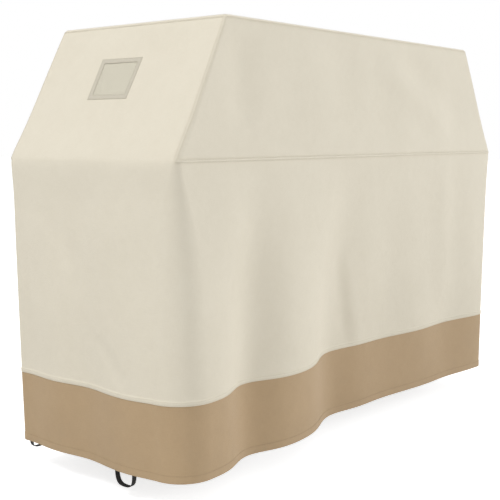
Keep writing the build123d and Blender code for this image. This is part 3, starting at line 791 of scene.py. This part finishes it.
# ------------------------------------------------------------------ vents
# High in each end slope is a window of knitted polyester net, its edge covered by a binding tape sewn
# down twice, so that steam gets out. Inside it a canvas flap keeps rain off, open along its foot.
BINDING_LIFTS = 0.0001 * np.array([1, 8, 10, 6, 10, 11, 10, 6, 10, 8, -2])
BINDING_PLACES = BINDING * np.array([0, 0.02, 0.1, 0.16, 0.25, 0.5, 0.75, 0.84, 0.9, 0.98, 1.0])
NET_PITCH, NET_HOLE = 0.0028, 0.0013
BINDING_THICK, NET_THICK = 0.0007, 0.0005
BIND = ribbed_material(
    "vent_binding_tape", colour(0.57, 0.53, 0.44), colour(0.48, 0.445, 0.36), 0.0009, 0.66
)


def net_material():
    """Knitted net: matt yarn, painted darker in its loops, where its bump is low, as shade."""
    material, shader = start_material("vent_net_yarn")
    loops = noise(stretched(cloth_map(), 900.0, 1400.0, 1.0), 1.0, 2.0)
    # Painted shade: darker where the loops' bump is low.
    tone = loops.step(0.3, 0.7).mix(colour(0.60, 0.565, 0.455), colour(0.74, 0.70, 0.575))
    feed(shader, "Base Color", tone)
    feed(shader, "Roughness", 0.7 + loops * 0.1)
    roughen(shader, loops * 0.0003, 0.8)
    return material


NET = net_material()


def frame_grid(wall, places, lifts):
    """Rectangles about the vent, one inside the next from its outer edge in, each a closed row."""
    turn = np.array([[-1, -1], [1, -1], [1, 1], [-1, 1], [-1, -1]])
    share = np.linspace(0, 4, 160, endpoint=False)
    corner = np.stack([np.interp(share, np.arange(5), turn[:, axis]) for axis in range(2)])
    inset = places[:, None]
    across, up = corner[0] * (VENT_HALF_WIDE - inset), corner[1] * (VENT_HALF_TALL - inset)
    return on_end(wall, across, up, np.broadcast_to(lifts[:, None], across.shape))


def net_mesh(name, wall):
    """Yarns and four-sided holes in alternate cells, every second row of holes moved half a pitch."""
    wide, tall = VENT_HALF_WIDE - BINDING + 0.002, VENT_HALF_TALL - BINDING + 0.002
    counts = [2 * round(half / NET_PITCH) for half in (wide, tall)]
    across, up = (np.arange(-count, count + 2) for count in counts)
    sizes = [(line // 2) * NET_PITCH + (line % 2) * NET_HOLE - NET_HOLE / 2 for line in (across, up)]
    grid_u, grid_a = np.meshgrid(sizes[1], sizes[0], indexing="ij")
    rows_u, rows_a = np.meshgrid(up, across, indexing="ij")
    shift = np.where((rows_u // 2) % 2 == 0, NET_PITCH / 4, -NET_PITCH / 4)
    points = on_end(wall, np.clip(grid_a + shift, -wide, wide), grid_u, -0.0006)
    hole = (rows_u[:-1, :-1] % 2 == 0) & (rows_a[:-1, :-1] % 2 == 0)
    return grid_mesh(name, points, flat_map(points), keep=~hole)


def flap_grid(wall):
    """The rain flap: sewn above the window, it slopes inwards to its foot and is closed at both sides."""
    wide, tall = VENT_HALF_WIDE - BINDING + 0.008, VENT_HALF_TALL - BINDING + 0.008
    share, side = np.meshgrid(np.linspace(0, 1, 14), np.linspace(-1, 1, 41), indexing="ij")
    hollow = 0.025 * (1 - smooth_step(np.abs(side), 0.86, 1.0)) + 0.002 * np.sin(3 * side)
    depth = 0.0022 + share * hollow
    outer = on_end(wall, side * wide, tall - 2 * tall * share)
    inward = np.array([-SLOPE_COS * VENT_SIDE[wall], 0, -math.sqrt(1 - SLOPE_COS**2)])
    return outer + depth[..., None] * inward


for wall in ("left", "right"):
    name = wall + "_vent_"
    grid = frame_grid(wall, BINDING_PLACES, BINDING_LIFTS)
    grid_piece(name + "binding_tape", grid, name + "binding", BIND, BINDING_THICK, closed=True)
    rows = []
    for at in (0.16 * BINDING, 0.84 * BINDING):
        path, beside = (frame_grid(wall, np.array([at + d]), np.array([0.0009]))[0] for d in (0, 0.001))
        closed = [np.concatenate([line, line[:1]]) for line in (path, beside)]
        rows.append(stitch_row(*closed))
    sewn(name + "stitches", rows, SAND_THREAD)
    net = place_piece(name + "knit", net_mesh(name + "knit", wall), name + "net", NET, NET_THICK)
    size = (2 * (VENT_HALF_WIDE - BINDING), 2 * (VENT_HALF_TALL - BINDING))
    flap = grid_piece(name + "flap", flap_grid(wall), name + "baffle", SAND, CANVAS)
    flat = (size[0] + 0.05, size[1] + 0.03)  # with its turnings and the slack that lets it slope

# ------------------------------------------------------------------ leg straps
# Four straps of black webbing hang inside the hem. Each is sewn to a canvas patch on the band, goes
# down, turns a quarter and passes under a leg or rail of the grill, and comes back up to a buckle.
CLOTH = 0.001  # the band's thickness in the frame
WEB_HALF, WEB_THICK = 0.0075, 0.0006  # half width, half thickness
PATCH_RISE, PATCH_TALL, PATCH_THICK = 0.118, 0.040, 0.0005
SEWN = 0.028  # length of a strap's sewn end
STANDOFF = 0.010  # band to the middle of the strap
PLUG_BAR, SOCKET_BAR = 0.04725, 0.08395  # hem to the buckle's two bars
BAR_CLEAR = 0.0023  # middle of a bar to the middle of the webbing round it
# strap: which end, turn of its band from the front in degrees, between its two limbs, hang below the hem
STRAPS = {
    "left_front": (-1, -90, 0.062, 0.044),
    "left_rear": (-1, 180, 0.046, 0.028),
    "right_front": (1, 90, 0.062, 0.044),
    "right_rear": (1, 180, 0.046, 0.028),
}


def webbing_material():
    """Black webbing: ribs across it in a herringbone, painted greyer on the rib crowns as a highlight and
    greyer where it is rubbed, with firm edges.
    """
    material, shader = start_material("black_webbing")
    cloth = cloth_map()
    u, v, _ = parts_of(cloth)
    ribs = (u + v.waves(0.0025) * 0.0012).waves(0.0011)
    wear = noise(cloth, 90.0, 4.0, 0.6)
    # Painted highlight on the rib crowns, mixed with real wear.
    tone = (ribs * 0.6 + wear * 0.4).step(0.2, 0.9)
    feed(shader, "Base Color", tone.mix(colour(0.012, 0.012, 0.013), colour(0.050, 0.049, 0.048)))
    feed(shader, "Roughness", 0.52 + wear * 0.2)
    roughen(shader, ribs * 0.00022, 0.9)
    return material


def strap_place(strap):
    """A function that takes points of a strap, x along the band, y in from it and z up from the hem,
    into the cover: leaned with the end, then turned about Z, then moved to its place."""
    end, degrees, _, _ = STRAPS[strap]
    low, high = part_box(strap + "_strap_patch")
    lean = 0 if degrees == 180 else math.atan(TAPER)
    if degrees == 180:
        at = ((low[0] + high[0]) / 2, HALF_WIDTH - CLOTH, HEM_Z)
    else:
        inner = HALF_LENGTH - TAPER * (SHOULDER_Z - HEM_Z) - CLOTH / math.cos(lean)
        at = (end * inner, (low[1] + high[1]) / 2, HEM_Z)
    c, s = math.cos(math.radians(degrees)), math.sin(math.radians(degrees))
    cl, sl = math.cos(lean), math.sin(lean)
    turn = np.array([[c, -s * cl, s * sl], [s, c * cl, -c * sl], [0, sl, cl]])
    return lambda points: np.asarray(points) @ turn.T + np.array(at)


def smooth_path(points):
    """A uniform cubic B-spline through the first and last point: each span blends four neighbours."""
    points = np.asarray(points, float)
    points = np.concatenate([[2 * points[0] - points[1]], points, [2 * points[-1] - points[-2]]])
    t = np.linspace(0, 1, 7, endpoint=False)
    basis = np.stack([(1 - t) ** 3, 3 * t**3 - 6 * t**2 + 4, -3 * t**3 + 3 * t**2 + 3 * t + 1, t**3]) / 6
    spans = np.stack([points[i:len(points) - 3 + i] for i in range(4)])
    curve = np.einsum("kt,kns->nts", basis, spans).reshape(-1, points.shape[1])
    return np.concatenate([curve, (points[-3] + 4 * points[-2] + points[-1])[None] / 6])


def power(values, exponent):
    """A power of each value's size, with its sign kept."""
    return np.sign(values) * np.abs(values) ** exponent


def ribbon_mesh(name, rows, placed):
    """Webbing along a smooth path of x, y, z and the angle of its width. Its section is a superellipse,
    nearly a rectangle with round edges, carried square to the path."""
    path = smooth_path(rows)
    spine, angle = path[:, :3], np.radians(path[:, 3])
    width = np.stack([np.cos(angle), np.sin(angle), 0 * angle], axis=1)
    normal = np.cross(np.gradient(spine, axis=0), width)
    normal = normal / np.linalg.norm(normal, axis=1, keepdims=True)
    turn = np.linspace(0, 2 * math.pi, 20, endpoint=False)
    flat, tall = power(np.cos(turn), 0.35) * WEB_HALF, power(np.sin(turn), 0.5) * WEB_THICK
    points = spine[:, None] + width[:, None] * flat[:, None] + normal[:, None] * tall[:, None]
    run = np.concatenate([[0], np.cumsum(np.linalg.norm(np.diff(spine, axis=0), axis=1))])
    uv = np.stack(np.broadcast_arrays(run[:, None], flat + 0.01), axis=-1)
    mesh = grid_mesh(name, placed(points), uv, closed=True)
    with reworked(mesh) as work:
        bmesh.ops.holes_fill(work, edges=[edge for edge in work.edges if edge.is_boundary])
        bmesh.ops.recalc_face_normals(work, faces=work.faces)
    return mesh


def tail_rows(x):
    """Where webbing is sewn on its patch."""
    sewn_y = CLOTH + WEB_THICK + 0.0002
    tops = np.linspace(PATCH_RISE + PATCH_TALL - 0.004, PATCH_RISE + PATCH_TALL - 0.004 - SEWN, 4)
    return [(x, sewn_y, z, 0) for z in tops]


def round_bar(x, near, far, bar, side):
    """Webbing turned back round a bar, past it upwards if side is -1 and downwards if 1."""
    before, past = bar + 0.0002 * side, bar - 0.0024 * side
    places = ((near, before), (near + 0.0001, past), (far - 0.0001, past), (far, before))
    return [(x, y, z, 0) for y, z in places]


def loop_rows(span, hang_down):
    """The long strap, from its sewn end round the loop below the hem to the plug's bar and back."""
    left, right, y = -span / 2, span / 2, STANDOFF
    near, far = y - BAR_CLEAR, y + BAR_CLEAR
    falling = [(0.092, 0), (0.065, 0), (0.044, 4), (0.032, 28), (0.020, 62), (0.008, 86), (-0.002, 90)]
    rows = tail_rows(left) + [(left, y * 0.75, 0.104, 0)] + [(left, y, z, angle) for z, angle in falling]
    turn = np.linspace(math.pi, 2 * math.pi, 15)
    down = -0.004 - (hang_down - 0.004) * np.abs(np.sin(turn)) ** 0.75
    rows += list(zip(right * power(np.cos(turn), 0.6), 0 * turn + y, down, 0 * turn + 90))
    rows += [(right, y, z, angle) for z, angle in ((0.006, 86), (0.018, 55), (0.027, 20))]
    rows += [(right, near + 0.0008, 0.036, 2), (right, near, 0.042, 0)]
    rows += round_bar(right, near, far, PLUG_BAR, -1)
    return rows + [(right, far, 0.042, 0), (right, far - 0.0005, 0.037, 0)]


def tail_strap_rows(span):
    """The short strap that holds the socket."""
    x, y = span / 2, STANDOFF
    near, far, bar = y - BAR_CLEAR, y + BAR_CLEAR, SOCKET_BAR
    rows = tail_rows(x) + [(x, near * 0.7, 0.117, 0), (x, near, 0.107, 0), (x, near, bar + 0.006, 0)]
    rows += round_bar(x, near, far, bar, 1)
    return rows + [(x, far, bar + 0.005, 0), (x, far - 0.0005, bar + 0.0095, 0)]


def patch_grid(span, placed):
    """A patch of canvas laid on the band, slightly puckered, its edge turned under."""
    half = span / 2 + WEB_HALF
    across, up = np.meshgrid(np.linspace(-half, half, 61), np.linspace(0, PATCH_TALL, 33), indexing="ij")
    edge = np.minimum(np.minimum(half - np.abs(across), up), PATCH_TALL - up)
    y = CLOTH * (0.45 + 0.5 * smooth_step(edge, 0, 0.0015)) - 0.0002 * bell(edge, 0.003, 0.0008)
    y = y + 0.00012 * np.sin(across * 900) * np.cos(up * 700)
    return placed(np.stack([across, y, up + PATCH_RISE], axis=-1))


def sewn_lines(placed, lines, y):
    """Stitch rows along straight lines on a strap or patch."""
    rows = []
    for x0, z0, x1, z1 in lines:
        share = np.linspace(0, 1, 30)[:, None]
        path = np.array([[x0, y, z0]]) + share * np.array([[x1 - x0, 0, z1 - z0]])
        side = np.array([[z1 - z0, 0, x0 - x1]]) * 0.02
        rows.append(stitch_row(placed(path), placed(path + side), inward=True))
    return rows


def box_lines(x, low, high, half):
    """A box with a cross in it."""
    corners = [(x - half, low), (x + half, low), (x + half, high), (x - half, high)]
    lines = [(*corners[i], *corners[(i + 1) % 4]) for i in range(4)]
    return lines + [(*corners[0], *corners[2]), (*corners[1], *corners[3])]


WEBBING = webbing_material()
BLACK_THREAD = thread_material("black_thread", colour(0.045, 0.045, 0.045), colour(0.015, 0.015, 0.015))
PATCH_EDGE = 0.003  # edge of a patch to its stitches
for strap, (_, _, span, hang_down) in STRAPS.items():
    placed = strap_place(strap)
    name = strap + "_webbing_loop"
    mesh = ribbon_mesh(name, loop_rows(span, hang_down), placed)
    loop = place_piece(name, mesh, strap + "_strap_loop", WEBBING, body=None)
    edge = span / 2 - WEB_HALF
    start, finish = (placed([[x, STANDOFF, 0.0]])[0] for x in (-edge, edge))
    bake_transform(loop)
    name = strap + "_webbing_tail"
    mesh = ribbon_mesh(name, tail_strap_rows(span), placed)
    place_piece(name, mesh, strap + "_strap_tail", WEBBING)
    name = strap + "_canvas_patch"
    grid = patch_grid(span, placed)
    patch = strips_piece(name, [grid], strap + "_strap_patch", TAN, PATCH_THICK)
    top, half = PATCH_RISE + PATCH_TALL, span / 2 + WEB_HALF
    outline = box_lines(0, PATCH_RISE + PATCH_EDGE, top - PATCH_EDGE, half - PATCH_EDGE)[:4]
    sewn(strap + "_patch_stitches", sewn_lines(placed, outline, CLOTH * 0.95), TAN_THREAD)
    boxes = []
    for x in (-span / 2, span / 2):
        boxes += box_lines(x, PATCH_RISE + 0.012, top - 0.006, WEB_HALF - 0.0015)
    box_rows = sewn_lines(placed, boxes, CLOTH + 2 * WEB_THICK + 0.0003)
    sewn(strap + "_box_stitches", box_rows, BLACK_THREAD)

# ------------------------------------------------------------------ buckles
# Side-release buckles moulded in black acetal: a socket on the fixed strap, and a plug whose two
# prongs spring in. The edges are a little round from the mould, and rubbed where fingers press.
MOULD_EDGE, SHARP = 0.0003, math.radians(35)  # edge radius, and the angle from which an edge is one


def acetal_material():
    """Moulded acetal: a fine spark-eroded grain and rubbed, shinier places."""
    material, shader = start_material("black_acetal")
    place = own_place()
    grain = noise(place, 2600.0, 2.0)
    rubbed = noise(place, 120.0, 4.0, 0.6)
    tone = rubbed.step(0.35, 0.7).mix(colour(0.014, 0.014, 0.015), colour(0.030, 0.030, 0.030))
    feed(shader, "Base Color", tone)
    feed(shader, "Roughness", 0.52 - rubbed.step(0.45, 0.75) * 0.16 + grain * 0.06)
    roughen(shader, grain * 0.00006, 0.6)
    return material


ACETAL = acetal_material()


def moulded(node, body):
    """A copy of a moulding with its flat faces whole again and its edges rounded."""
    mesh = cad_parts[node].data.copy()
    mesh.materials.clear()
    with reworked(mesh) as work:
        bmesh.ops.remove_doubles(work, verts=work.verts, dist=1e-6)
        bmesh.ops.dissolve_limit(work, angle_limit=math.radians(1), verts=work.verts, edges=work.edges)
    piece = place_piece(node + "_moulding", mesh, node, ACETAL, body=body)
    mesh.shade_smooth()
    mesh.set_sharp_from_angle(angle=SHARP)
    bevel = piece.modifiers.new("moulded edges", "BEVEL")
    bevel.width, bevel.segments, bevel.angle_limit = MOULD_EDGE, 2, SHARP
    bevel.use_clamp_overlap = bevel.harden_normals = True


for strap in STRAPS:
    moulded(strap + "_buckle_socket", "cover")
    moulded(strap + "_buckle_plug", strap + "_plug")
    for prong in ("_prong_a", "_prong_b"):
        moulded(strap + "_buckle" + prong, strap + prong)

# ------------------------------------------------------------------ the studio
# A white floor in a white room under soft light from both sides and a little from the camera's, and a
# long lens at standing height off the cover's left front corner.
FLOOR_DROP = 0.075  # below the hem, so that a strap let right down clears it
FLOOR_HALF = 30.0
FLOOR_GLOW = 0.75  # what the floor adds to its own light, so that it is as white as the room behind it
ROOM_LIGHT, ROOM_SEEN = 0.58, 1.0  # the room as a light, and as the camera sees it
CAMERA_AT = (-2.3653, -1.7783, HEM_Z + 0.8336)
CAMERA_AIM = (0.77093, 0.62541, -0.12054)
LENS, SENSOR = 68.03, 36.0


def facing(aim):
    """The turn of a lamp or camera that looks along a direction."""
    aim = np.array(aim) / np.linalg.norm(aim)
    return math.acos(-aim[2]), 0, math.atan2(aim[1], aim[0]) - math.pi / 2


def soft_light(name, at, size, power):
    """A square white lamp that faces the middle of the cover."""
    lamp = bpy.data.lights.new(name, "AREA")
    lamp.size, lamp.energy = size, power
    holder = in_scene(name, lamp)
    holder.location = at
    holder.rotation_euler = facing(np.array([0, 0, (TOP_Z + HEM_Z) / 2]) - np.array(at))


plate = bpy.data.meshes.new("floor")
corners = np.array([(-1, -1), (1, -1), (1, 1), (-1, 1)]) * FLOOR_HALF
plate.from_pydata([(x, y, HEM_Z - FLOOR_DROP) for x, y in corners], [], [(0, 1, 2, 3)])
material, shader = start_material("pale_floor")
shader.inputs["Base Color"].default_value = colour(0.80, 0.80, 0.80)
shader.inputs["Roughness"].default_value = 0.9
glow = Field.made("ShaderNodeLightPath").mix(colour(0, 0, 0), colour(FLOOR_GLOW, FLOOR_GLOW, FLOOR_GLOW))
feed(shader, "Emission Color", glow)
shader.inputs["Emission Strength"].default_value = 1.0
plate.materials.append(material)
in_scene("floor", plate)

world = bpy.data.worlds.new("studio")
bpy.context.scene.world = world
world.use_nodes = True
Field.tree = world.node_tree
seen = Field.made("ShaderNodeLightPath")
backdrop = world.node_tree.nodes["Background"]
backdrop.inputs[0].default_value = colour(1.0, 1.0, 1.0)
Field.tree.links.new((seen * (ROOM_SEEN - ROOM_LIGHT) + ROOM_LIGHT).socket, backdrop.inputs[1])
soft_light("left_lamp", (-5.6, 1.0, 6.6), 3.0, 366)
soft_light("right_lamp", (9.6, -6.0, 1.6), 3.0, 600)
soft_light("near_lamp", (-5.0, -6.0, 2.2), 4.0, 75)

lens = bpy.data.cameras.new("camera")
lens.lens, lens.sensor_width = LENS, SENSOR
camera = in_scene("camera", lens)
camera.location = CAMERA_AT
camera.rotation_euler = facing(CAMERA_AIM)
bpy.context.scene.camera = camera
bpy.context.scene.view_settings.view_transform = "Standard"
